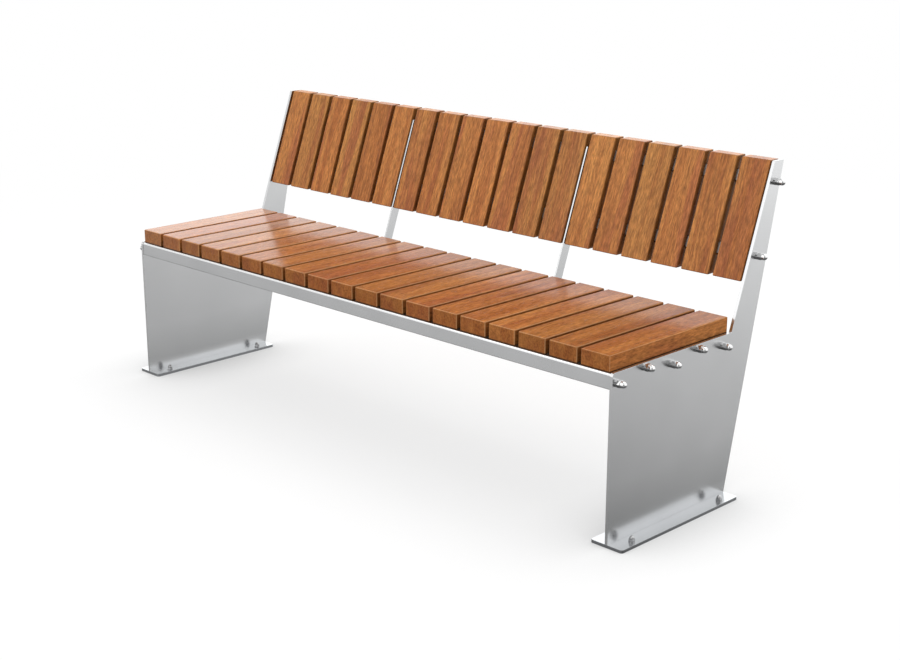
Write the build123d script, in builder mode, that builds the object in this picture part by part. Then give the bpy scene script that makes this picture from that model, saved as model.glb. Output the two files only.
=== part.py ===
from build123d import *
import os
from math import cos, radians, sin, tan

# Street bench: two steel end frames joined by cross tubes, with rows of short hardwood slats
# for the seat and the leaning back. Millimetres, X along the bench, Y from front to back,
# Z up, origin on the ground under the middle of the bench.

# Overall
overall_height = 806.0
seat_height = 450.0
back_lean = 19.9

# Slats
slat_count = 19
slat_width = 82.5
slat_gap = 11.5
slat_end_gap = 4.75
slat_edge_chamfer = 2.0
seat_slat_length = 439.0
seat_slat_thickness = 39.5
seat_slat_setback = 4.5
back_slat_thickness = 32.0
back_slat_setback = 2.7
back_opening = 77.5

# End frames: one plate for leg, seat edge and arm, standing on a base plate
plate_thickness = 8.0
seat_edge_rise = 2.7
plate_front_radius = 9.0
plate_crook_radius = 5.0
plate_top_radius = 3.0
base_width = 92.0
base_length = 445.0
base_thickness = 8.0
base_corner_radius = 7.0
anchor_end_inset = 55.0
anchor_side_inset = 16.0
anchor_hole_diameter = 9.0

# Cross members under the seat: three tubes, with two flatter rails between them
tube_width = 30.0
tube_height = 37.0
tube_wall = 2.5
tube_corner_radius = 5.0
tube_base_radius = 1.5
tube_setback = 1.0
tube_bolt_drop = 4.0
seat_overhang = 17.5
seat_rail_height = 15.0
rail_wall = 2.0
rail_corner_radius = 3.0

# Back frame: two rails let into the backs of the slats, and two arms in the gaps between bays
back_rail_height = 30.0
upper_rail_depth = 20.0
upper_rail_drop = 49.0
lower_rail_depth = 30.0
lower_rail_rise = 57.5
slat_cover = 11.0
groove_clearance = 0.5
outer_bay_slats = 6
back_arm_width = 28.0
back_arm_clearance = 1.75
back_arm_tip = 17.0
back_arm_crook_radius = 6.0

# Fasteners
stud_diameter = 10.0
stud_play = 0.5
plug_length = 20.0
nut_flats = 17.0
nut_hex_height = 12.0
nut_dome_diameter = 16.0
nut_height = 26.0
anchor_nut_flats = 13.0
anchor_nut_hex_height = 6.5
anchor_nut_dome_diameter = 12.0
anchor_nut_height = 15.0
crown_sides = 12
crown_steps = (0, 40, 75)

# Places that follow from the sizes above
slat_pitch = slat_width + slat_gap
inner_width = slat_count * slat_pitch - slat_gap + 2 * slat_end_gap
inner_face = inner_width / 2
outer_face = inner_face + plate_thickness
slat_underside = seat_height - seat_slat_thickness
seat_edge_height = slat_underside + seat_edge_rise
seat_edge_depth = seat_slat_setback + seat_slat_length
back_slat_bottom = seat_height + back_opening
lean_run = tan(radians(back_lean))
lean_cos = cos(radians(back_lean))


def arm_edge(height):
    """Depth of the leaning front edge of the side plates' arms at a height."""
    return seat_edge_depth + (height - seat_edge_height) * lean_run


def back_face(height, behind=0.0):
    """Depth at a height of a plane that lies behind the front faces of the back slats."""
    return arm_edge(height) + (back_slat_setback + behind) / lean_cos


overall_depth = back_face(overall_height, back_slat_thickness)


def at(depth, height):
    """A point in the side view, as Y and Z, with the depth counted from the front edge."""
    return depth - overall_depth / 2, height


def slat_left(number):
    """The left side of slat 1, 2, 3 and so on."""
    return -inner_face + slat_end_gap + (number - 1) * slat_pitch


def back_rail_point(level, depth):
    """Centre of a back rail's section, at its bolts."""
    return at(back_face(level, slat_cover + depth / 2), level)


def back_rail_plane(x, level, depth):
    """Plane across a back rail: its X runs through the back, its Y up along the slats."""
    y, z = back_rail_point(level, depth)
    return Plane(origin=(x, y, z), x_dir=(0, 1, -lean_run), z_dir=(1, 0, 0))


tube_section = (tube_width, tube_height, tube_corner_radius, tube_wall)
tube_level = slat_underside - tube_height / 2
seat_rail_section = (tube_width, seat_rail_height, rail_corner_radius, rail_wall)
seat_rail_level = slat_underside - seat_rail_height / 2
first_support = tube_setback + tube_width / 2
last_support = seat_edge_depth - seat_overhang - tube_width / 2
support_pitch = (last_support - first_support) / 4
tube_depths = [first_support + place * support_pitch for place in (0, 2, 4)]
seat_rail_depths = [first_support + place * support_pitch for place in (1, 3)]
back_rails = {
    "upper": (overall_height - upper_rail_drop, upper_rail_depth),
    "lower": (back_slat_bottom + lower_rail_rise, lower_rail_depth),
}
tube_bolts = [at(depth, tube_level - tube_bolt_drop) for depth in tube_depths]
seat_rail_bolts = [at(depth, seat_rail_level) for depth in seat_rail_depths]
back_rail_bolts = [back_rail_point(*rail) for rail in back_rails.values()]
frame_bolts = tube_bolts + seat_rail_bolts + back_rail_bolts

os.makedirs("parts", exist_ok=True)


def save(piece, label):
    piece.part.label = label
    export_step(piece.part, f"parts/{label}.step")


# Seat slats: short boards laid from front to back, eased on every edge
for number in range(1, slat_count + 1):
    with BuildPart() as seat_slat:
        with BuildSketch(Plane.XY.offset(slat_underside)):
            middle = at(seat_slat_setback + seat_slat_length / 2, 0)[0]
            with Locations((slat_left(number) + slat_width / 2, middle)):
                Rectangle(slat_width, seat_slat_length)
        extrude(amount=seat_slat_thickness)
        chamfer(seat_slat.edges(), length=slat_edge_chamfer)
    save(seat_slat, f"seat_slat_{number:02d}")

# Back slats: leaning boards with level ends, grooved across the back for the two rails
for number in range(1, slat_count + 1):
    with BuildPart() as back_slat:
        with BuildSketch(Plane.YZ.offset(slat_left(number))):
            with BuildLine():
                Polyline(
                    at(back_face(back_slat_bottom), back_slat_bottom),
                    at(back_face(overall_height), overall_height),
                    at(back_face(overall_height, back_slat_thickness), overall_height),
                    at(back_face(back_slat_bottom, back_slat_thickness), back_slat_bottom),
                    close=True,
                )
            make_face()
        extrude(amount=slat_width)
        chamfer(back_slat.edges(), length=slat_edge_chamfer)
        for level, depth in back_rails.values():
            with BuildSketch(back_rail_plane(slat_left(number), level, depth)):
                with Locations((-depth / 2, 0)):
                    Rectangle(
                        2 * back_slat_thickness,
                        back_rail_height + 2 * groove_clearance,
                        align=(Align.MIN, Align.CENTER),
                    )
            extrude(amount=slat_width, mode=Mode.SUBTRACT)
    save(back_slat, f"back_slat_{number:02d}")

# Side plates: leg, seat edge and leaning arm cut from one plate, drilled for the frame bolts
for label, start in (("left", -outer_face), ("right", inner_face)):
    with BuildPart() as side_plate:
        with BuildSketch(Plane.YZ.offset(start)):
            front_corner = at(0, seat_edge_height)
            crook = at(seat_edge_depth, seat_edge_height)
            with BuildLine():
                Polyline(
                    at(0, base_thickness),
                    front_corner,
                    crook,
                    at(arm_edge(overall_height), overall_height),
                    at(overall_depth, overall_height),
                    at(base_length, base_thickness),
                    close=True,
                )
            make_face()
            fillet(vertices().sort_by_distance(front_corner)[0], radius=plate_front_radius)
            fillet(vertices().sort_by_distance(crook)[0], radius=plate_crook_radius)
            fillet(vertices().group_by(Axis.Y)[-1], radius=plate_top_radius)
            with Locations(*frame_bolts):
                Circle(stud_diameter / 2 + stud_play, mode=Mode.SUBTRACT)
        extrude(amount=plate_thickness)
    save(side_plate, f"{label}_side_plate")

# Base plates: flat feet under the side plates, with two anchor holes on each side of the leg
base_centre = outer_face - plate_thickness / 2
base_middle = at(base_length / 2, 0)[0]
anchor_spread = base_width - 2 * anchor_side_inset
anchor_reach = base_length - 2 * anchor_end_inset
for label, side in (("left", -1), ("right", 1)):
    with BuildPart() as base_plate:
        with BuildSketch():
            with Locations((side * base_centre, base_middle)):
                RectangleRounded(base_width, base_length, base_corner_radius)
                with GridLocations(anchor_spread, anchor_reach, 2, 2):
                    Circle(anchor_hole_diameter / 2, mode=Mode.SUBTRACT)
        extrude(amount=base_thickness)
    save(base_plate, f"{label}_base_plate")


def tube_bore(width, height, radius, wall, mode=Mode.ADD):
    """The inside of a tube's section, as a plug or as the hollow itself."""
    Rectangle(width - 2 * wall, height - 2 * wall, mode=mode)


def tube_ring(width, height, radius, wall):
    """The wall of a tube's section."""
    RectangleRounded(width, height, radius)
    tube_bore(width, height, radius, wall, mode=Mode.SUBTRACT)


# Seat tubes: from plate to plate, round at the top and crisp below, the front one showing as an apron
for label, depth in zip(("front", "middle", "rear"), tube_depths):
    with BuildPart() as seat_tube:
        with BuildSketch(Plane.YZ.offset(-inner_face)):
            with Locations(at(depth, tube_level)):
                Rectangle(tube_width, tube_height)
            fillet(vertices().group_by(Axis.Y)[-1], radius=tube_corner_radius)
            fillet(vertices().group_by(Axis.Y)[0], radius=tube_base_radius)
            with Locations(at(depth, tube_level)):
                tube_bore(*tube_section, mode=Mode.SUBTRACT)
        extrude(amount=inner_width)
    save(seat_tube, f"{label}_seat_tube")

# Seat rails: flatter tubes between the seat tubes, with the slats screwed down onto them
for label, depth in zip(("front", "rear"), seat_rail_depths):
    with BuildPart() as seat_rail:
        with BuildSketch(Plane.YZ.offset(-inner_face)):
            with Locations(at(depth, seat_rail_level)):
                tube_ring(*seat_rail_section)
        extrude(amount=inner_width)
    save(seat_rail, f"{label}_seat_rail")

# Back arms: flat bars in the gaps between the bays, each with a foot against the rear seat tube
back_arm_thickness = slat_gap - 2 * back_arm_clearance
back_arm_top = overall_height - upper_rail_drop + back_arm_tip
back_arm_middles = [
    slat_left(slats + 1) - slat_gap / 2 for slats in (outer_bay_slats, slat_count - outer_bay_slats)
]
rear_tube_face = last_support + tube_width / 2
foot_bottom = tube_level - tube_height / 2 + tube_corner_radius
foot_top = tube_level + tube_height / 2 - tube_corner_radius
for label, middle in zip(("left", "right"), back_arm_middles):
    with BuildPart() as back_arm:
        with BuildSketch(Plane.YZ.offset(middle - back_arm_thickness / 2)):
            crook = at(back_face(foot_top), foot_top)
            with BuildLine():
                Polyline(
                    at(rear_tube_face, foot_bottom),
                    at(rear_tube_face, foot_top),
                    crook,
                    at(back_face(back_arm_top), back_arm_top),
                    at(back_face(back_arm_top, back_arm_width), back_arm_top),
                    at(back_face(foot_bottom, back_arm_width), foot_bottom),
                    close=True,
                )
            make_face()
            fillet(vertices().sort_by_distance(crook)[0], radius=back_arm_crook_radius)
        extrude(amount=back_arm_thickness)
    save(back_arm, f"{label}_back_arm")


def back_rail_section(depth):
    return depth, back_rail_height, rail_corner_radius, rail_wall


# Back rails: tubes in three bays between the side plates and the back arms
left_arm, right_arm = back_arm_middles
bays = {
    "left": (-inner_face, left_arm - back_arm_thickness / 2),
    "middle": (left_arm + back_arm_thickness / 2, right_arm - back_arm_thickness / 2),
    "right": (right_arm + back_arm_thickness / 2, inner_face),
}
for row, (level, depth) in back_rails.items():
    for bay, (start, end) in bays.items():
        with BuildPart() as back_rail:
            with BuildSketch(back_rail_plane(start, level, depth)):
                tube_ring(*back_rail_section(depth))
            extrude(amount=end - start)
        save(back_rail, f"{row}_back_rail_{bay}")

# End plugs: blocks welded into the tube and rail ends, which carry the studs
with BuildPart() as end_plugs:
    for start in (-inner_face, inner_face - plug_length):
        with BuildSketch(Plane.YZ.offset(start)):
            with Locations(*[at(depth, tube_level) for depth in tube_depths]):
                tube_bore(*tube_section)
            with Locations(*seat_rail_bolts):
                tube_bore(*seat_rail_section)
        extrude(amount=plug_length)
        for level, depth in back_rails.values():
            with BuildSketch(back_rail_plane(start, level, depth)):
                tube_bore(*back_rail_section(depth))
            extrude(amount=plug_length)
save(end_plugs, "end_plugs")

# Frame studs: welded to the plugs, out through the side plates to the cap nuts
with BuildPart() as frame_studs:
    for side in (-1, 1):
        with BuildSketch(Plane.YZ.offset(side * inner_face)):
            with Locations(*frame_bolts):
                Circle(stud_diameter / 2)
        extrude(amount=side * plate_thickness)
save(frame_studs, "frame_studs")


def cap_nut(flats, hex_height, dome_diameter, height):
    """A cap nut standing on the ground: a hexagon, a neck, and a dome in flats up to its tip."""
    dome_radius = dome_diameter / 2
    neck_top = height - dome_radius * sin(radians(crown_steps[-1]))
    with BuildPart() as nut:
        with BuildSketch():
            RegularPolygon(flats / 2, side_count=6, major_radius=False)
        extrude(amount=hex_height)
        with BuildSketch(Plane.XY.offset(hex_height)):
            RegularPolygon(dome_radius, side_count=crown_sides)
        extrude(amount=neck_top - hex_height)
        for step in crown_steps:
            with BuildSketch(Plane.XY.offset(neck_top + dome_radius * sin(radians(step)))):
                RegularPolygon(dome_radius * cos(radians(step)), side_count=crown_sides)
        loft(ruled=True)
    return nut.part


# Frame cap nuts: domes outwards, on the outer faces of the side plates
frame_nut = cap_nut(nut_flats, nut_hex_height, nut_dome_diameter, nut_height)
frame_nut_planes = [
    Plane(origin=(side * outer_face, y, z), x_dir=(0, 0, 1), z_dir=(side, 0, 0))
    for side in (-1, 1)
    for y, z in frame_bolts
]
with BuildPart() as frame_cap_nuts:
    with Locations(*frame_nut_planes):
        add(frame_nut)
save(frame_cap_nuts, "frame_cap_nuts")

# Anchor nuts: over the anchor holes, for studs that stand up from the ground
anchor_nut = cap_nut(
    anchor_nut_flats, anchor_nut_hex_height, anchor_nut_dome_diameter, anchor_nut_height
)
anchor_nut_places = [
    (side * base_centre + across * anchor_spread / 2, base_middle + along * anchor_reach / 2, base_thickness)
    for side in (-1, 1)
    for across in (-1, 1)
    for along in (-1, 1)
]
with BuildPart() as anchor_nuts:
    with Locations(*anchor_nut_places):
        add(anchor_nut)
save(anchor_nuts, "anchor_nuts")

print(f"bench {2 * base_centre + base_width:.1f} x {overall_depth:.1f} x {overall_height:.1f} mm")
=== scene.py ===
# %% [markdown]
# # A street bench of steel and hardwood
# Two flat steel end frames carry rows of short hardwood boards: a level row to sit on and a
# leaning row for the back. The CAD model already has every board, plate, tube and nut in its
# place, in metres, so this lesson never moves anything. It adds the camera, the studio, the
# finishes and the small fasteners that a maker would notice.

# %% Load the bench
import random
from math import cos, pi, radians, sin, sqrt, tan

import bmesh
import bpy
from mathutils import Matrix, Vector


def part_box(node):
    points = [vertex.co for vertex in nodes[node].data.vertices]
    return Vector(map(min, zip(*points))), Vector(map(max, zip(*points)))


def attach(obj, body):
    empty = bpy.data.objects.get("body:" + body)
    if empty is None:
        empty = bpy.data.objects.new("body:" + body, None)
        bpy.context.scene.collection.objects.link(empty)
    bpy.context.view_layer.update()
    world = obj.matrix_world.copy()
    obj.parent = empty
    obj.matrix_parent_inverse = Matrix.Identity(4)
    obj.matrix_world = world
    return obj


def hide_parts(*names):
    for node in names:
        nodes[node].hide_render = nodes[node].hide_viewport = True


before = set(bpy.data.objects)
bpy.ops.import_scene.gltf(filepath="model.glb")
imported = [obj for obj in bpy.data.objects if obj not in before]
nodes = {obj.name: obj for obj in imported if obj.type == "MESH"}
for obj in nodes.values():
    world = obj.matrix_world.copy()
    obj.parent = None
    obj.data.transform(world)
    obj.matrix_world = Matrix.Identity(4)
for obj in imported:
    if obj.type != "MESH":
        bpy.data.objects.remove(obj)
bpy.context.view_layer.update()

scene = bpy.context.scene
scene.view_settings.view_transform = "Standard"

# %% [markdown]
# ## The viewpoint
# The bench is seen from its right-hand front corner, a little above the height of the back.
# A camera can be placed by eye, but lines that run away from the viewer show any error at once.
# So the place and the lens come from the bench's own corners: one camera was solved to pass
# through all of them, and its numbers are written down here.

# %% Camera
camera_place = (2.8653, -2.7756, 1.4335)
camera_turn = (radians(73.61), 0.0, radians(45.01))
lens_length = 60.67

camera_data = bpy.data.cameras.new("viewpoint")
camera_data.sensor_fit = "HORIZONTAL"
camera_data.sensor_width = 36.0
camera_data.lens = lens_length
camera = bpy.data.objects.new("viewpoint", camera_data)
camera.location = camera_place
camera.rotation_euler = camera_turn
scene.collection.objects.link(camera)
scene.camera = camera
print("camera at", camera_place, "with a lens of", lens_length, "mm")

# %% [markdown]
# ## Nodes in a few words
# Materials are small graphs. Written out in full they are long and hard to read, so a few
# helpers carry the routine. One adds a node with its settings and wires, and the others add the
# kinds of node that this bench needs most. The last two start a group, which is a graph with
# named inputs and outputs that many materials can share, and a material.


# %% Helpers for single nodes
def put(tree, kind, wires=None, **settings):
    """Adds a node. Each wire is a socket's name or number with a value or another node's output."""
    node = tree.nodes.new(kind)
    for key, value in settings.items():
        setattr(node, key, value)
    for key, value in (wires or {}).items():
        if isinstance(value, bpy.types.NodeSocket):
            tree.links.new(value, node.inputs[key])
        else:
            node.inputs[key].default_value = value
    return node


def maths(tree, operation, first, second=0.0, third=0.0):
    """One sum: the values combined by the operation."""
    node = put(tree, "ShaderNodeMath", {0: first, 1: second, 2: third}, operation=operation)
    return node.outputs[0]


def stretch(tree, place, scale):
    """The same place measured with another scale along each axis."""
    node = put(tree, "ShaderNodeVectorMath", {0: place, 1: scale}, operation="MULTIPLY")
    return node.outputs[0]


def along_axis(tree, direction, axis):
    """How far a direction points along an axis: 1 is the same way and -1 the opposite way."""
    node = put(tree, "ShaderNodeVectorMath", {0: direction, 1: axis}, operation="DOT_PRODUCT")
    return node.outputs["Value"]


def noise(tree, place, scale, detail=2.0, roughness=0.5, distortion=0.0):
    """A cloud of values from 0 to 1. A small scale along one axis draws it out into streaks."""
    wires = {"Vector": stretch(tree, place, scale), "Scale": 1.0, "Detail": detail,
             "Roughness": roughness, "Distortion": distortion}
    return put(tree, "ShaderNodeTexNoise", wires).outputs[0]


def between(tree, value, low, high, to_low=0.0, to_high=1.0):
    """Spreads the values from low to high over a new range, and holds them there."""
    wires = {"Value": value, "From Min": low, "From Max": high, "To Min": to_low, "To Max": to_high}
    return put(tree, "ShaderNodeMapRange", wires).outputs[0]


def tint(tree, factor, first, second, mode="MIX"):
    """Mixes two colours."""
    wires = {0: factor, 6: first, 7: second}
    return put(tree, "ShaderNodeMix", wires, data_type="RGBA", blend_type=mode).outputs[2]


print("helpers for nodes ready")


# %% Helpers for groups and materials
def start_group(name, inputs, outputs):
    """A node group with named sockets. Gives its tree, what comes in and what goes out."""
    tree = bpy.data.node_groups.new(name, "ShaderNodeTree")
    for label, kind in inputs.items():
        tree.interface.new_socket(label, in_out="INPUT", socket_type="NodeSocket" + kind)
    for label, kind in outputs.items():
        tree.interface.new_socket(label, in_out="OUTPUT", socket_type="NodeSocket" + kind)
    return tree, tree.nodes.new("NodeGroupInput").outputs, tree.nodes.new("NodeGroupOutput").inputs


def start_material(name):
    """A material with its shader ready. Gives the material, its tree and the shader."""
    material = bpy.data.materials.new(name)
    material.use_nodes = True
    return material, material.node_tree, material.node_tree.nodes["Principled BSDF"]


print("helpers for groups and materials ready")

# %% [markdown]
# ## The studio
# The bench stands on a plain white floor under a bright sky, as in a photographer's white cove.
# The floor is one large disc. It could also curve up into a backdrop, but from this height the
# disc already fills the picture, and it keeps the soft shadow under the seat. What the camera
# sees of it is mixed with a white glow that grows further out, so the floor melts into the sky.
# Next to the base plates the glow fades by an occlusion test, which leaves a painted contact shade
# where the bench stands.


# %% Floor
def mesh_piece(name, build):
    """A new object from a bmesh that the build function fills."""
    shape = bmesh.new()
    build(shape)
    bmesh.ops.recalc_face_normals(shape, faces=shape.faces)
    mesh = bpy.data.meshes.new(name)
    shape.to_mesh(mesh)
    shape.free()
    piece = bpy.data.objects.new(name, mesh)
    scene.collection.objects.link(piece)
    return piece


floor_radius = 40.0
floor = mesh_piece("studio_floor", lambda shape: bmesh.ops.create_circle(
    shape, cap_ends=True, segments=96, radius=floor_radius))
floor.visible_glossy = False
print("floor of", 2 * floor_radius, "m across")


# %% Floor paint
def seen_share(tree):
    """1 for what is seen, straight, mirrored or through glass, and 0 for scattered light."""
    path = put(tree, "ShaderNodeLightPath").outputs
    mirrored = maths(tree, "MAXIMUM", path["Is Glossy Ray"], path["Is Transmission Ray"])
    return maths(tree, "MAXIMUM", path["Is Camera Ray"], mirrored)


white = (1, 1, 1, 1)
seen_paint = ((0.95, 0.95, 0.95, 1), (0.965, 0.965, 0.965, 1))
scattering_paint = (0.72, 0.72, 0.72, 1)
contact_reach = 0.25

floor_paint, tree, shader = start_material("white_floor")
place = put(tree, "ShaderNodeTexCoord").outputs["Object"]
seen = seen_share(tree)
floor_cloud = between(tree, noise(tree, place, (0.6, 0.6, 0.6)), 0.3, 0.7)
floor_tone = tint(tree, seen, scattering_paint, tint(tree, floor_cloud, *seen_paint))
tree.links.new(floor_tone, shader.inputs["Base Color"])
shader.inputs["Roughness"].default_value = 0.9
shader.inputs["Specular IOR Level"].default_value = 0.0

from_middle = put(tree, "ShaderNodeVectorMath", {0: place}, operation="LENGTH").outputs["Value"]
glow_share = maths(tree, "MULTIPLY", between(tree, from_middle, 1.3, 4.5, 0.70, 1.0), seen)
# The glow dims where the bench stands close: a painted contact shade on the floor.
openness = put(tree, "ShaderNodeAmbientOcclusion", {"Distance": contact_reach}, samples=8)
glow_level = between(tree, openness.outputs["AO"], 0.45, 0.95, 0.56, 1.0)
glow = put(tree, "ShaderNodeEmission", {"Color": white, "Strength": glow_level})
layers = {0: glow_share, 1: shader.outputs[0], 2: glow.outputs[0]}
surface = put(tree, "ShaderNodeMixShader", layers)
tree.links.new(surface.outputs[0], tree.nodes["Material Output"].inputs["Surface"])
floor.data.materials.append(floor_paint)
print("floor paint with", len(tree.nodes), "nodes")

# %% [markdown]
# Steel has no colour of its own to speak of: it shows what stands around it. In a white room
# it would all but vanish, so those who photograph metal hang grey cloth low down and stand in
# the dark themselves. One sky could not do that and also light the wood well. So the sky has two
# coats: one that mirrors see, bright above the horizon and grey below it, and one that only
# lights rough surfaces, with most of its light from above and from the left.


# %% Bands of the sky
def sky_bands(tree, height, bands):
    """Levels of light by height, from -1 straight down to 1 straight up."""
    brightest = max(level for _, level in bands)
    ramp = put(tree, "ShaderNodeValToRGB", {0: between(tree, height, -1.0, 1.0)})
    stops = ramp.color_ramp.elements
    while len(stops) < len(bands):
        stops.new(0.5)
    for stop, (up, level) in zip(stops, bands):
        stop.position = (up + 1) / 2
        shade = level / brightest
        stop.color = (shade, shade, shade, 1)
    return maths(tree, "MULTIPLY", ramp.outputs[0], brightest)


mirrored_bands = (
    (-1.0, 0.12), (-0.64, 0.20), (-0.50, 0.20), (-0.40, 0.30), (-0.35, 0.72), (-0.29, 0.77),
    (-0.24, 0.93), (-0.20, 1.13), (-0.15, 1.53), (-0.08, 1.72), (0.70, 1.78), (0.87, 1.20),
    (1.0, 0.80),
)
left_bands = ((-1.0, 0.6), (0.0, 1.1), (0.20, 1.15), (0.75, 1.2), (0.90, 1.35), (1.0, 1.35))
right_bands = (
    (-1.0, 0.6), (0.0, 1.6), (0.14, 1.6), (0.26, 0.35), (0.75, 0.40), (0.90, 1.25), (1.0, 1.35),
)
print("sky in", len(mirrored_bands), "mirrored bands")

# %% [markdown]
# No studio is even all round. The grey cloths below hang low at the sides, on the wall behind the
# right-hand corner, and low and high at the front left. Each takes a share of the mirrored light
# away and leaves the lighting alone. The corner where the viewer stands is dark, and it shows as
# a small dark spot on each polished nut.

# %% Grey cloths and the dark corner
viewer_corner = (0.69, -0.69, 0.20)
rear_wall = (0.70, 0.70, 0.15)

world = bpy.data.worlds.new("studio_sky")
world.use_nodes = True
scene.world = world
tree = world.node_tree
heading = put(tree, "ShaderNodeTexCoord").outputs["Generated"]
right, back, up = put(tree, "ShaderNodeSeparateXYZ", {0: heading}).outputs

level_square = maths(tree, "SUBTRACT", 1.0, maths(tree, "MULTIPLY", up, up))
level_part = maths(tree, "SQRT", maths(tree, "MAXIMUM", level_square, 0.0001))
front_or_back = maths(tree, "DIVIDE", maths(tree, "ABSOLUTE", back), level_part)
low_cloth = between(tree, front_or_back, 0.55, 0.85, 0.25, -0.03)
low_cloth = maths(tree, "MULTIPLY", low_cloth, between(tree, up, -0.02, -0.12))
low_cloth = maths(tree, "MULTIPLY", low_cloth, between(tree, up, -0.20, -0.29, 0.95, 1.45))

wall_cloth = between(tree, along_axis(tree, heading, rear_wall), 0.70, 0.90, 0.0, 0.13)
wall_cloth = maths(tree, "MULTIPLY", wall_cloth, between(tree, up, 0.0, 0.1))

low_left = between(tree, up, -0.02, -0.12, 0.0, 0.11)
low_left = maths(tree, "MULTIPLY", low_left, between(tree, right, -0.70, -0.80))
high_left = between(tree, up, 0.14, 0.22, 0.0, 0.45)
high_left = maths(tree, "MULTIPLY", high_left, between(tree, right, -0.66, -0.71))
in_front = maths(tree, "LESS_THAN", back, 0.0)
front_cloths = maths(tree, "MULTIPLY", in_front, maths(tree, "ADD", low_left, high_left))

cloths = maths(tree, "ADD", low_cloth, maths(tree, "ADD", wall_cloth, front_cloths))
dark_corner = between(tree, along_axis(tree, heading, viewer_corner), 0.86, 0.95, 1.0, 0.12)
print("cloths and corner with", len(tree.nodes), "nodes")

# %% Two coats of sky
mirrored = sky_bands(tree, up, mirrored_bands)
mirrored = maths(tree, "MULTIPLY", mirrored, maths(tree, "SUBTRACT", 1.0, cloths))
mirrored = maths(tree, "MULTIPLY", mirrored, dark_corner)
right_share = between(tree, right, -0.25, 0.25)
left_share = maths(tree, "SUBTRACT", 1.0, right_share)
left_light = maths(tree, "MULTIPLY", sky_bands(tree, up, left_bands), left_share)
lighting = maths(tree, "MULTIPLY_ADD", sky_bands(tree, up, right_bands), right_share, left_light)
layers = {0: seen_share(tree), 2: lighting, 3: mirrored}
coats = put(tree, "ShaderNodeMix", layers, data_type="FLOAT")
background = tree.nodes["Background"]
background.inputs["Color"].default_value = white
tree.links.new(coats.outputs[0], background.inputs["Strength"])
print("sky with", len(tree.nodes), "nodes")

# %% [markdown]
# A sky alone is flat. One large cloth lamp above and behind the bench lights the tops of the
# boards a little more than their fronts. A small lamp would draw hard shadows on the white floor.


# %% Lamp
def soft_lamp(name, place, target, size, brightness):
    """A square cloth lamp that faces the target. A brightness of 1 makes the cloth white."""
    lamp = bpy.data.lights.new(name, "AREA")
    lamp.shape = "SQUARE"
    lamp.size = size
    lamp.energy = brightness * pi * size * size
    holder = bpy.data.objects.new(name, lamp)
    holder.location = place
    holder.rotation_euler = (Vector(target) - Vector(place)).to_track_quat("-Z", "Y").to_euler()
    scene.collection.objects.link(holder)
    print(name, "at", place)


soft_lamp("lamp_above", place=(0.8, 1.5, 4.1), target=(0.0, 0.0, 0.3), size=2.4, brightness=2.8)

# %% [markdown]
# ## Hardwood
# The boards are a reddish-brown tropical hardwood, oiled to a soft shine. Each board comes from
# another plank, so no two match: some are golden, some wine-red, some striped. A photo of wood
# could be wrapped round them, but the grain would then stop at every edge. A solid texture is
# worked out at each point of the board instead, so streaks run over the edge and end as short
# marks on the sawn ends.

# %% Hardwood grain, shared by all boards
stripe_tone = (0.13, 0.036, 0.016, 1)
pore_tone = (0.10, 0.030, 0.012, 1)
hardwood, given, gives = start_group(
    "hardwood_grain",
    {"Place": "Vector", "Pale": "Color", "Deep": "Color", "Wine": "Color", "Stripes": "Float"},
    {"Colour": "Color", "Roughness": "Float", "Relief": "Float"},
)
waver = noise(hardwood, given["Place"], (5.0, 2.2, 5.0), detail=1.0)
sideways = maths(hardwood, "MULTIPLY_ADD", waver, 0.024, -0.012)
shift = put(hardwood, "ShaderNodeCombineXYZ", {0: sideways, 2: sideways}).outputs[0]
wavered = {0: given["Place"], 1: shift}
along = put(hardwood, "ShaderNodeVectorMath", wavered, operation="ADD").outputs[0]

figure = noise(hardwood, along, (30.0, 1.3, 14.0), detail=3.0, roughness=0.6, distortion=0.3)
patches = noise(hardwood, along, (19.0, 1.6, 9.0), detail=3.0, roughness=0.6, distortion=0.5)
streaks = noise(hardwood, along, (190.0, 4.0, 60.0), detail=3.0, roughness=0.6)
fibres = noise(hardwood, along, (620.0, 18.0, 220.0), detail=2.0, roughness=0.6)
flecks = noise(hardwood, along, (260.0, 44.0, 190.0), detail=2.0, roughness=0.65)
pores = between(hardwood, noise(hardwood, along, (560.0, 55.0, 420.0), detail=1.0), 0.60, 0.72)
print("hardwood marks:", len(hardwood.nodes), "nodes")

# %% Colour, shine and relief of the grain
wood = tint(hardwood, between(hardwood, figure, 0.38, 0.62), given["Pale"], given["Deep"])
wine_share = maths(hardwood, "MULTIPLY", between(hardwood, patches, 0.52, 0.64), 0.6)
wood = tint(hardwood, wine_share, wood, given["Wine"])
stripe_share = maths(hardwood, "MULTIPLY", between(hardwood, streaks, 0.52, 0.68), given["Stripes"])
wood = tint(hardwood, stripe_share, wood, stripe_tone)
fleck_shade = between(hardwood, flecks, 0.32, 0.68, 0.68, 1.32)
fibre_shade = between(hardwood, fibres, 0.3, 0.7, 0.86, 1.14)
fibre_shade = maths(hardwood, "MULTIPLY", fibre_shade, fleck_shade)
fibre_grey = put(hardwood, "ShaderNodeCombineColor",
                 {0: fibre_shade, 1: fibre_shade, 2: fibre_shade}).outputs[0]
wood = tint(hardwood, 1.0, wood, fibre_grey, "MULTIPLY")
wood = tint(hardwood, maths(hardwood, "MULTIPLY", pores, 0.45), wood, pore_tone)
hardwood.links.new(wood, gives["Colour"])
rough = maths(hardwood, "MULTIPLY_ADD", streaks, 0.10, 0.11)
rough = maths(hardwood, "MULTIPLY_ADD", pores, 0.15, rough)
hardwood.links.new(rough, gives["Roughness"])
relief = maths(hardwood, "SUBTRACT", maths(hardwood, "MULTIPLY", fibres, 0.5), pores)
hardwood.links.new(relief, gives["Relief"])
print("hardwood group with", len(hardwood.nodes), "nodes")
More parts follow.
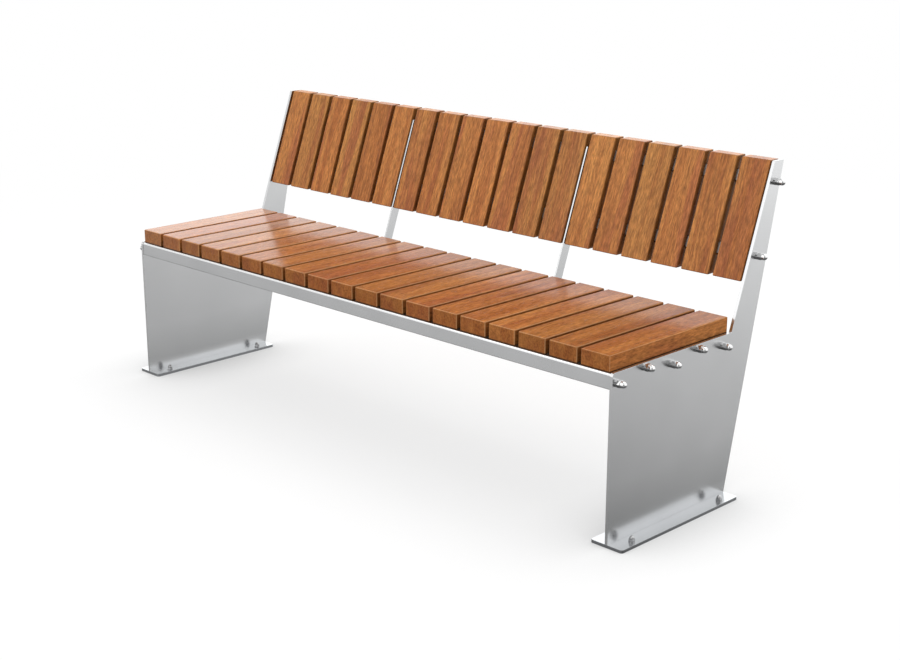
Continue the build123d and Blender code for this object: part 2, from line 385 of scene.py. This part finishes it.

# %% [markdown]
# Some faces of a board get a tone that stands in for light and shade. The rounded edges of the seat
# get a painted highlight, and those of the back a painted shade. Sawn ends are darker, partly as
# end grain that drinks more oil and partly as painted shade. The sides in the narrow gaps get a
# painted shade, and a board's foot gets a painted shadow where it meets the plate. A second group
# tells these places apart, mostly by the way the surface faces, so it works for the level boards
# and for the leaning ones.

# %% Faces of a board, shared by all boards
faces, given, gives = start_group(
    "board_faces",
    {"Front": "Vector", "End": "Vector", "Leftmost": "Float", "Rightmost": "Float",
     "Foot height": "Float"},
    {"Gap shade": "Float", "Ends": "Float", "Edge": "Float", "Foot": "Float"},
)
skin = put(faces, "ShaderNodeNewGeometry").outputs


def facing_along(axis):
    """How squarely the surface faces along an axis, either way: 1 is square on."""
    return maths(faces, "ABSOLUTE", along_axis(faces, skin["Normal"], axis))


to_side = facing_along((1, 0, 0))
to_front = facing_along(given["Front"])
to_end = facing_along(given["End"])
squarest = maths(faces, "MAXIMUM", to_side, maths(faces, "MAXIMUM", to_front, to_end))
# Edge: where a painted highlight or painted shade goes on the rounded edges.
faces.links.new(between(faces, squarest, 0.985, 0.90), gives["Edge"])
# Ends: end grain, darkened partly as painted shade.
faces.links.new(between(faces, to_end, 0.85, 0.97), gives["Ends"])

at_side, _, at_height = put(faces, "ShaderNodeSeparateXYZ", {0: skin["Position"]}).outputs
above_foot = maths(faces, "SUBTRACT", at_height, given["Foot height"])
# Foot: a painted shadow along a board's foot, where it meets the plate.
faces.links.new(between(faces, above_foot, 0.0, 0.0008, 1.0, 0.0), gives["Foot"])

right_of_start = maths(faces, "GREATER_THAN", at_side, given["Leftmost"])
left_of_end = maths(faces, "LESS_THAN", at_side, given["Rightmost"])
inside_row = maths(faces, "MULTIPLY", right_of_start, left_of_end)
# Gap: painted shade on the sides in the narrow gaps, deepest near the foot.
in_gap = maths(faces, "MULTIPLY", between(faces, to_side, 0.50, 0.90), inside_row)
deeper = between(faces, above_foot, 0.0, 0.034, 2.4, 1.0)
faces.links.new(maths(faces, "MULTIPLY", in_gap, deeper), gives["Gap shade"])
print("faces group with", len(faces.nodes), "nodes")

# %% [markdown]
# Every board gets a material of its own, which places the shared groups with its own tones and
# its own stretch of grain. The draws come from a seeded source, so the bench is the same bench
# each time. At a very low angle the shader's own sheen would turn a board into a mirror, so the
# roughness rises there.

# %% A board's material
pale_tone = (0.49, 0.200, 0.054)
deep_tone = (0.36, 0.126, 0.034)
wine_tone = (0.31, 0.088, 0.036)
# Painted shade for the gaps, end grain with painted shade, and a painted shadow for the foot.
painted_gap_shade = (0.065, 0.028, 0.005, 1)
end_grain_and_shade = (0.17, 0.062, 0.018, 1)
painted_foot_shadow = (0.030, 0.016, 0.008, 1)
plank_luck = random.Random(1906)


def nearby(tone, brightness, warmth):
    """The tone of another plank: brighter or darker, and more golden or more red."""
    red, green, blue = tone
    return (red * brightness, green * brightness * warmth, blue * brightness * warmth, 1)


def board_wood(name, tilt, sockets, shares, look):
    """Oiled hardwood for one board. The tilt lays the group's long axis along the board."""
    material, tree, shader = start_material(name)
    start = [plank_luck.uniform(-40, 40) for _ in range(3)]
    brightness = plank_luck.uniform(0.90, 1.12) * look["tone"]
    warmth = plank_luck.uniform(0.92, 1.04) * look["warmth"]
    here = put(tree, "ShaderNodeTexCoord").outputs["Object"]
    laid = {"Vector": here, "Location": start, "Rotation": (tilt, 0, 0)}
    grain = put(tree, "ShaderNodeGroup", node_tree=hardwood)
    tree.links.new(put(tree, "ShaderNodeMapping", laid).outputs[0], grain.inputs["Place"])
    grain.inputs["Pale"].default_value = nearby(pale_tone, brightness, warmth)
    grain.inputs["Deep"].default_value = nearby(deep_tone, brightness, warmth)
    grain.inputs["Wine"].default_value = nearby(wine_tone, brightness, 1.0)
    grain.inputs["Stripes"].default_value = plank_luck.uniform(0.15, 0.45)
    spots = put(tree, "ShaderNodeGroup", node_tree=faces)
    for socket, value in sockets.items():
        spots.inputs[socket].default_value = value

    colour = grain.outputs["Colour"]
    # Gap and Foot are painted shade, Ends end grain and painted shade, Edge a painted highlight or
    # shade.
    tones = {"Gap shade": painted_gap_shade, "Ends": end_grain_and_shade, "Edge": look["edge"], "Foot": painted_foot_shadow}
    for spot, tone in tones.items():
        share = maths(tree, "MULTIPLY", spots.outputs[spot], shares[spot])
        colour = tint(tree, share, colour, tone)
    tree.links.new(colour, shader.inputs["Base Color"])
    rough = maths(tree, "MULTIPLY_ADD", spots.outputs["Ends"], 0.12, grain.outputs["Roughness"])
    glancing = put(tree, "ShaderNodeLayerWeight", {"Blend": 0.5}).outputs["Facing"]
    rough = maths(tree, "MULTIPLY_ADD", between(tree, glancing, 0.85, 0.94), 0.5, rough)
    tree.links.new(rough, shader.inputs["Roughness"])
    pressed = {"Height": grain.outputs["Relief"], "Strength": 0.12, "Distance": 0.0006}
    tree.links.new(put(tree, "ShaderNodeBump", pressed).outputs[0], shader.inputs["Normal"])
    shader.inputs["IOR"].default_value = look["shine"]
    return material


print("seeded planks ready")

# %% [markdown]
# The seat's grain runs from front to back, and the back's grain runs up its slope. No single
# setting suited the whole seat from the camera's corner. So from the middle to the left the tone,
# the shine and the darkness of the sawn ends rise board by board: painted light in the tone and
# painted shade on the ends. That is a match for this one view, not something the wood does.


# %% Hardwood on every board
def dress(node_name, material):
    """Gives a CAD node one material."""
    slots = nodes[node_name].data.materials
    slots.clear()
    slots.append(material)


back_lean = radians(19.9)
leaning_front = Vector((0, -cos(back_lean), sin(back_lean)))
# A painted highlight for the seat's edges and a painted shade for the back's.
painted_edge_highlight = (0.66, 0.36, 0.17, 1)
painted_edge_shade = (0.13, 0.046, 0.010, 1)
plate_edge = 0.4135
middle_board = 9
seat_boards = sorted(name for name in nodes if name.startswith("seat_slat"))
back_boards = sorted(name for name in nodes if name.startswith("back_slat"))
row_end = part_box("seat_slat_19")[1].x
just_inside = row_end - 0.002

for number, name in enumerate(seat_boards):
    left_by = max(0, middle_board - number)
    sockets = {"Front": (0, 0, 1), "End": (0, 1, 0), "Leftmost": -just_inside,
               "Rightmost": just_inside, "Foot height": plate_edge}
    # Towards the left, more painted shade on the ends and more painted light in the tone.
    shares = {"Gap shade": 0.30, "Ends": 0.30 + 0.025 * left_by, "Edge": 0.40, "Foot": 0.85}
    look = {"tone": 0.88 + 0.024 * left_by, "warmth": 0.95,
            "shine": 1.12 + 0.0024 * left_by ** 2, "edge": painted_edge_highlight}
    dress(name, board_wood("hardwood_" + name, 0.0, sockets, shares, look))
for name in back_boards:
    sockets = {"Front": leaning_front, "End": (0, 0, 1), "Leftmost": -just_inside,
               "Rightmost": row_end + 0.1, "Foot height": 0.0}
    shares = {"Gap shade": 0.62, "Ends": 0.0, "Edge": 0.40, "Foot": 0.0}
    look = {"tone": 1.16, "warmth": 1.05, "shine": 1.24, "edge": painted_edge_shade}
    dress(name, board_wood("hardwood_" + name, back_lean - pi / 2, sockets, shares, look))
print(len(seat_boards), "seat boards and", len(back_boards), "back boards in hardwood")

# %% [markdown]
# A board's edges are eased with a router, so that they are kind to legs and hold oil. The CAD
# boards have a flat bevel there. Three modifiers turn it into a round: one joins the loose
# facets, one removes the lines across flat faces, and the bevel rounds what is left. A fourth
# evens the shading. They leave the CAD mesh itself alone, and they only take wood away. The
# plates get the same treatment with a much finer edge.


# %% Rounded edges
def ease(piece, width, segments):
    """Rounds the edges of a piece by modifiers and smooths its shading."""
    for face in piece.data.polygons:
        face.use_smooth = True
    weld = piece.modifiers.new("join_facets", "WELD")
    weld.merge_threshold = 0.00002
    flat = piece.modifiers.new("clear_flats", "DECIMATE")
    flat.decimate_type = "DISSOLVE"
    flat.angle_limit = radians(2)
    bevel = piece.modifiers.new("round_edges", "BEVEL")
    bevel.width = width
    bevel.segments = segments
    bevel.limit_method = "ANGLE"
    bevel.angle_limit = radians(25)
    normals = piece.modifiers.new("even_shading", "WEIGHTED_NORMAL")
    normals.keep_sharp = False


board_round, side_plate_round, base_plate_round = 0.0014, 0.0003, 0.0005
outer_boards = (seat_boards[0], seat_boards[-1])
eased_boards = [name for name in seat_boards + back_boards if name not in outer_boards]
for name in eased_boards:
    ease(nodes[name], board_round, 3)
for side in ("left", "right"):
    ease(nodes[f"{side}_side_plate"], side_plate_round, 2)
    ease(nodes[f"{side}_base_plate"], base_plate_round, 2)
print("edges eased on", len(eased_boards), "boards and 4 plates")

# %% [markdown]
# The two outer seat boards are made again as whole pieces. Each one stands in the notch of a
# side plate, and there the lower edge was only broken, so that no light shows under the board.
# The bevel modifier could be kept off the lower edges by weights, but the CAD board is bevelled
# there already. So the board is built in mesh code, in the same box as before.


# %% Outer seat boards
upper_round, lower_break = 0.0022, 0.0003


def outer_board(low, high):
    """Gives the function that builds a board in the box, round above and crisp below."""
    def build(shape):
        bmesh.ops.create_cube(shape, size=1.0)
        for vertex in shape.verts:
            vertex.co = Vector([a + (b - a) * (0.5 + c) for a, b, c in zip(low, high, vertex.co)])
        middle = (low.z + high.z) / 2
        upper = [edge for edge in shape.edges if any(end.co.z > middle for end in edge.verts)]
        bmesh.ops.bevel(shape, geom=upper, offset=upper_round, segments=4, profile=0.5,
                        affect="EDGES")
        foot = low.z + 0.0001
        lower = [edge for edge in shape.edges if all(end.co.z < foot for end in edge.verts)]
        bmesh.ops.bevel(shape, geom=lower, offset=lower_break, segments=1, profile=0.5,
                        affect="EDGES")
    return build


for name in outer_boards:
    board = mesh_piece("outer_" + name, outer_board(*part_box(name)))
    for face in board.data.polygons:
        face.use_smooth = True
    even = board.modifiers.new("even_shading", "WEIGHTED_NORMAL")
    even.keep_sharp = False
    board.data.materials.append(nodes[name].data.materials[0])
    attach(board, "root")
    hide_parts(name)
print("outer boards:", ", ".join(outer_boards))

# %% [markdown]
# ## Satin steel
# The plates and tubes are stainless steel, rubbed to a satin with a fine belt. The belt leaves
# hair lines along the piece, too fine to count, and they spread each reflection a little. A
# plain grey would look like paint. The group below draws the hair lines and some slow clouds,
# where hands and cloths have rubbed more or less, and sends them mostly to the roughness.

# %% Satin steel, shared by plates, tubes, rails and nuts
satin, given, gives = start_group(
    "satin_steel",
    {"Place": "Vector", "Lines": "Vector", "Bright": "Color", "Dull": "Color", "Gloss": "Float"},
    {"Colour": "Color", "Roughness": "Float", "Relief": "Float"},
)
hairs = noise(satin, given["Place"], given["Lines"], detail=3.0, roughness=0.6)
clouds = noise(satin, given["Place"], (7.0, 7.0, 7.0), detail=3.0)
rubbed = noise(satin, given["Place"], (2.3, 2.3, 2.3), detail=1.0)
tone = maths(satin, "MULTIPLY_ADD", hairs, 0.3, maths(satin, "MULTIPLY", clouds, 0.7))
tone = between(satin, tone, 0.3, 0.7)
satin.links.new(tint(satin, tone, given["Bright"], given["Dull"]), gives["Colour"])
spread = maths(satin, "MULTIPLY_ADD", between(satin, hairs, 0.3, 0.7), 0.02, given["Gloss"])
spread = maths(satin, "MULTIPLY_ADD", between(satin, rubbed, 0.3, 0.7), 0.04, spread)
satin.links.new(spread, gives["Roughness"])
satin.links.new(hairs, gives["Relief"])
print("satin group with", len(satin.nodes), "nodes")


# %% Steel materials
def satin_steel(name, lines, bright, dull, gloss, depth, purity=1.0):
    """Steel with hair lines. The lines are closest across the rubbing and longest along it."""
    material, tree, shader = start_material(name)
    finish = put(tree, "ShaderNodeGroup", node_tree=satin)
    tree.links.new(put(tree, "ShaderNodeTexCoord").outputs["Object"], finish.inputs["Place"])
    finish.inputs["Lines"].default_value = lines
    finish.inputs["Bright"].default_value = (*bright, 1)
    finish.inputs["Dull"].default_value = (*dull, 1)
    finish.inputs["Gloss"].default_value = gloss
    tree.links.new(finish.outputs["Colour"], shader.inputs["Base Color"])
    tree.links.new(finish.outputs["Roughness"], shader.inputs["Roughness"])
    pressed = {"Height": finish.outputs["Relief"], "Strength": 0.05, "Distance": depth}
    tree.links.new(put(tree, "ShaderNodeBump", pressed).outputs[0], shader.inputs["Normal"])
    shader.inputs["Metallic"].default_value = purity
    return material


plate_steel = satin_steel("satin_plate", (500, 1100, 9), (0.600, 0.605, 0.610),
                          (0.560, 0.565, 0.570), 0.21, 0.0002)
tube_steel = satin_steel("satin_tube", (9, 1100, 900), (0.600, 0.605, 0.610),
                         (0.555, 0.560, 0.565), 0.19, 0.0002)
base_steel = satin_steel("satin_base", (900, 9, 900), (0.610, 0.625, 0.640),
                         (0.570, 0.585, 0.600), 0.18, 0.0002)
rail_steel = satin_steel("mill_rail", (9, 700, 700), (0.420, 0.385, 0.360),
                         (0.360, 0.330, 0.310), 0.34, 0.0003)
nut_steel = satin_steel("polished_nut", (1500, 1500, 1500), (0.660, 0.660, 0.660),
                        (0.610, 0.610, 0.610), 0.08, 0.0001, purity=0.94)
# A darker copy of the nut steel: painted shade on the anchor nuts.
shaded_anchor_steel = satin_steel("shaded_anchor_nut", (1500, 1500, 1500), (0.400, 0.400, 0.405),
                           (0.330, 0.330, 0.335), 0.05, 0.0001)
print("six finishes of steel")

# %% [markdown]
# Some tones on the steel stand in for light and shade. The sawn edges of the base plates get a
# painted shade, the tops of the tubes a painted highlight, and the side plates a painted shade
# that darkens towards the bottom of each leg. Each mark is a mask by the way the surface faces or
# by its height, and mixes one tone into the clean steel.


# %% Painted light and shade on the steel
def upward(tree, what):
    """The upward part of the surface's Normal or Position."""
    there = put(tree, "ShaderNodeNewGeometry").outputs[what]
    return put(tree, "ShaderNodeSeparateXYZ", {0: there}).outputs[2]


def on_edges(tree):
    """A mask for the sawn edges of a plate that lies flat."""
    return between(tree, maths(tree, "ABSOLUTE", upward(tree, "Normal")), 0.75, 0.35)


def on_top(tree):
    """A mask for the top of a tube, where a highlight is painted."""
    return between(tree, upward(tree, "Normal"), 0.30, 0.75)


def near_ground(tree):
    """A mask for the lower part of a leg, where a painted shade darkens towards the bottom."""
    height = upward(tree, "Position")
    painted_low_shade = between(tree, height, 0.05, 0.15, 0.36, 0.0)
    return maths(tree, "MULTIPLY", painted_low_shade, between(tree, height, 0.020, 0.042))


def recolour(material, mask_of, tone):
    """Mixes a tone into the colour of a steel, by a mask worked out in its tree."""
    tree = material.node_tree
    shader = tree.nodes["Principled BSDF"]
    clean = shader.inputs["Base Color"].links[0].from_socket
    tree.links.new(tint(tree, mask_of(tree), clean, tone), shader.inputs["Base Color"])


# Painted shade on the sawn edges of the base plates.
recolour(base_steel, on_edges, (0.30, 0.31, 0.32, 1))
# A painted highlight on the tops of the tubes.
recolour(tube_steel, on_top, (0.92, 0.93, 0.94, 1))
# Painted shade on the side plates, darker towards the bottom.
recolour(plate_steel, near_ground, (0.36, 0.37, 0.37, 1))
print("marks on the base plates, tubes and side plates")

# %% Steel on every plate, tube, rail and nut
for name in nodes:
    if name.endswith("_side_plate") or name.endswith("_back_arm"):
        dress(name, plate_steel)
    elif name.endswith("_base_plate"):
        dress(name, base_steel)
    elif name == "frame_cap_nuts":
        dress(name, nut_steel)
    elif name == "anchor_nuts":
        dress(name, shaded_anchor_steel)
    elif "back_rail" in name:
        dress(name, rail_steel)
    elif "slat" not in name:
        dress(name, tube_steel)
print("steel on", len(nodes) - len(seat_boards) - len(back_boards), "parts")

# %% [markdown]
# A flat arm stands in each of the two gaps between the bays of the back. From the front it shows
# only as a fine bright line beside a dark gap, so its front edge is taken to be ground thinner
# from the left. A boolean cut could do that. Moving the few points of that edge in a copy of the
# mesh is simpler, and it leaves the rest of the arm as it was.

# %% Back arms, ground along the front
arm_grinding = 0.0035
arm_round = 0.0004
near_enough = 0.001
for side in ("left", "right"):
    name = f"{side}_back_arm"
    arm = bpy.data.objects.new("ground_" + name, nodes[name].data.copy())
    scene.collection.objects.link(arm)
    points = [vertex.co for vertex in arm.data.vertices]
    arm_left = min(point.x for point in points)
    arm_top = max(point.z for point in points)
    top_points = [point for point in points if point.z > arm_top - near_enough]
    front_plane = max(point.dot(leaning_front) for point in top_points)
    for point in points:
        on_front = abs(point.dot(leaning_front) - front_plane) < near_enough
        if on_front and point.x < arm_left + near_enough:
            point.x += arm_grinding
    ease(arm, arm_round, 2)
    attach(arm, "root")
    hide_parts(name)
print("two back arms, ground by", 1000 * arm_grinding, "mm")

# %% [markdown]
# ## Cap nuts
# Fourteen polished cap nuts hold the tubes and rails to the side plates, each on a washer, and
# eight smaller ones hold the base plates down, in a darker steel that is painted shade. The CAD
# nuts are plain, with a dome in flats. A turned nut has a hexagon whose corners are cut by a cone,
# a thin neck and a true dome. All its rings can be read from one outline, so the nut is turned ring
# by ring, like on a lathe, and only the hexagon's rings follow the six flats.


# %% Turning
turn_steps = 48
crisp_angle = radians(32)


def turn(shape, rings, place):
    """Turns rings of (radius function, height function) into a closed skin at the place."""
    angles = [2 * pi * step / turn_steps for step in range(turn_steps)]
    loops = []
    for radius, height in rings:
        loop = []
        for angle in angles:
            out = radius(angle)
            point = Vector((out * cos(angle), out * sin(angle), height(angle)))
            loop.append(shape.verts.new(place @ point))
        loops.append(loop)
    for lower, upper in zip(loops, loops[1:]):
        for step in range(turn_steps):
            after = (step + 1) % turn_steps
            shape.faces.new((lower[step], lower[after], upper[after], upper[step]))
    shape.faces.new(loops[-1])
    shape.faces.new(loops[0][::-1])


def turned_piece(name, rings, places, material):
    """One piece with the same rings turned at every place: smooth, with crisp edges."""
    def build(shape):
        for place in places:
            turn(shape, rings, place)

    piece = mesh_piece(name, build)
    piece.data.polygons.foreach_set("use_smooth", [True] * len(piece.data.polygons))
    piece.data.set_sharp_from_angle(angle=crisp_angle)
    piece.data.materials.append(material)
    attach(piece, "root")
    return piece


print("turning with", turn_steps, "steps round")


# %% Outlines of washers and cap nuts
def round_ring(radius, height):
    """A level circle."""
    return (lambda angle: radius), (lambda angle: height)


def hexagon_radius(apothem, angle):
    """How far a hexagon reaches at an angle. The apothem is half its width across the flats."""
    return apothem / cos((angle + pi / 6) % (pi / 3) - pi / 6)


def washer_rings(radius, height):
    """A flat washer with its outer edges broken."""
    edge = 0.12 * height
    return [round_ring(radius - edge, 0.0), round_ring(radius, edge),
            round_ring(radius, height - edge), round_ring(radius - edge, height)]


def cap_nut_rings(flats, start, hex_top, dome_radius, top):
    """A hexagon with its corners cut by a cone, a neck and a dome."""
    apothem = flats / 2
    face_radius = 0.97 * apothem
    cone_slope = tan(radians(30))

    def corner(angle):
        return hexagon_radius(apothem, angle)

    def cut_above(angle):
        return hex_top - (corner(angle) - face_radius) * cone_slope

    def cut_below(angle):
        return start + (corner(angle) - face_radius) * cone_slope

    neck_height, lip_height = 0.0008, 0.0006
    neck = 0.88 * dome_radius
    dome_start = hex_top + neck_height
    crown = top - dome_radius
    rings = [round_ring(face_radius, start), (corner, cut_below),
             (corner, cut_above), round_ring(face_radius, hex_top),
             round_ring(neck, hex_top), round_ring(neck, dome_start),
             round_ring(dome_radius, dome_start + lip_height), round_ring(dome_radius, crown)]
    for turned_up in (10, 20, 30, 40, 50, 60, 70, 80, 86):
        angle = radians(turned_up)
        rings.append(round_ring(dome_radius * cos(angle), crown + dome_radius * sin(angle)))
    return rings


def nut_boxes(node_name, reach):
    """The box of each nut in a node: points nearer than the reach belong to one nut."""
    boxes = []
    for vertex in nodes[node_name].data.vertices:
        point = vertex.co
        for low, high in boxes:
            if all(high[i] - reach < point[i] < low[i] + reach for i in range(3)):
                for i in range(3):
                    low[i] = min(low[i], point[i])
                    high[i] = max(high[i], point[i])
                break
        else:
            boxes.append((point.copy(), point.copy()))
    return boxes


print("outlines ready")

# %% Frame nuts on their washers
frame_boxes = nut_boxes("frame_cap_nuts", reach=0.04)
nut_top = frame_boxes[0][1].x - frame_boxes[0][0].x
washer_height = 0.0025
frame_places = []
for low, high in frame_boxes:
    middle = (low + high) / 2
    outwards = 1 if middle.x > 0 else -1
    seat = low.x if outwards > 0 else high.x
    turned = Matrix.Rotation(outwards * pi / 2, 4, "Y")
    frame_places.append(Matrix.Translation((seat, middle.y, middle.z)) @ turned)

frame_rings = cap_nut_rings(flats=0.0165, start=washer_height, hex_top=0.0125,
                            dome_radius=0.008, top=nut_top)
frame_nuts = turned_piece("turned_frame_nuts", frame_rings, frame_places, nut_steel)
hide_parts("frame_cap_nuts")
turned_piece("frame_washers", washer_rings(0.0092, washer_height), frame_places, nut_steel)
print(len(frame_places), "frame nuts, each", round(1000 * nut_top, 1), "mm high")

# %% Anchor nuts on their washers
anchor_boxes = nut_boxes("anchor_nuts", reach=0.03)
anchor_top = anchor_boxes[0][1].z - anchor_boxes[0][0].z
anchor_washer = 0.0016
anchor_places = []
for low, high in anchor_boxes:
    foot = ((low.x + high.x) / 2, (low.y + high.y) / 2, low.z)
    anchor_places.append(Matrix.Translation(foot))

anchor_rings = cap_nut_rings(flats=0.013, start=anchor_washer, hex_top=0.0075,
                             dome_radius=0.0058, top=anchor_top)
anchor_nuts = turned_piece("turned_anchor_nuts", anchor_rings, anchor_places, shaded_anchor_steel)
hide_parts("anchor_nuts")
turned_piece("anchor_washers", washer_rings(0.008, anchor_washer), anchor_places, shaded_anchor_steel)
print(len(anchor_places), "anchor nuts, each", round(1000 * anchor_top, 1), "mm high")

# %% [markdown]
# ## Slat screws
# No screw shows on top of the seat or on the front of the back, so the boards are held from
# behind: one screw through each rail into each board. Their heads are low and round, with a
# six-sided socket for the key.


# %% Screw heads
def screw_rings(radius, height, socket):
    """A low round head with a six-sided socket."""
    def key_side(angle):
        return hexagon_radius(socket, angle)

    rings = [round_ring(radius, 0.0), round_ring(radius, 0.25 * height)]
    for share in (0.35, 0.65, 0.9):
        narrowed = radius * sqrt(1 - 0.55 * share ** 2)
        rings.append(round_ring(narrowed, height * (0.25 + 0.75 * share)))
    rings.append(round_ring(radius * 0.62, height))
    rings.append((key_side, lambda angle: height))
    rings.append((key_side, lambda angle: 0.35 * height))
    return rings


def middle_of(box):
    """The middle of a box that is given by its low and high corners."""
    low, high = box
    return (low + high) / 2


head_rings = screw_rings(radius=0.0055, height=0.003, socket=0.0016)
print("screw head in", len(head_rings), "rings")

# %% Screws under the seat and behind the back
rail_depths = {"upper": 0.020, "lower": 0.030}
screw_places = []
downwards = Matrix.Rotation(pi, 4, "X")
for rail in ("front_seat_rail", "rear_seat_rail"):
    rail_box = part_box(rail)
    for board in seat_boards:
        spot = (middle_of(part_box(board)).x, middle_of(rail_box).y, rail_box[0].z)
        screw_places.append(Matrix.Translation(spot) @ downwards)
backwards = -leaning_front
facing_back = Vector((0, 0, 1)).rotation_difference(backwards).to_matrix().to_4x4()
for row, rail_depth in rail_depths.items():
    rail_middle = middle_of(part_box(f"{row}_back_rail_middle"))
    for board in back_boards:
        inside = Vector((middle_of(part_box(board)).x, rail_middle.y, rail_middle.z))
        spot = inside + backwards * rail_depth / 2
        screw_places.append(Matrix.Translation(spot) @ facing_back)
turned_piece("slat_screws", head_rings, screw_places, nut_steel)
print(len(screw_places), "slat screws")
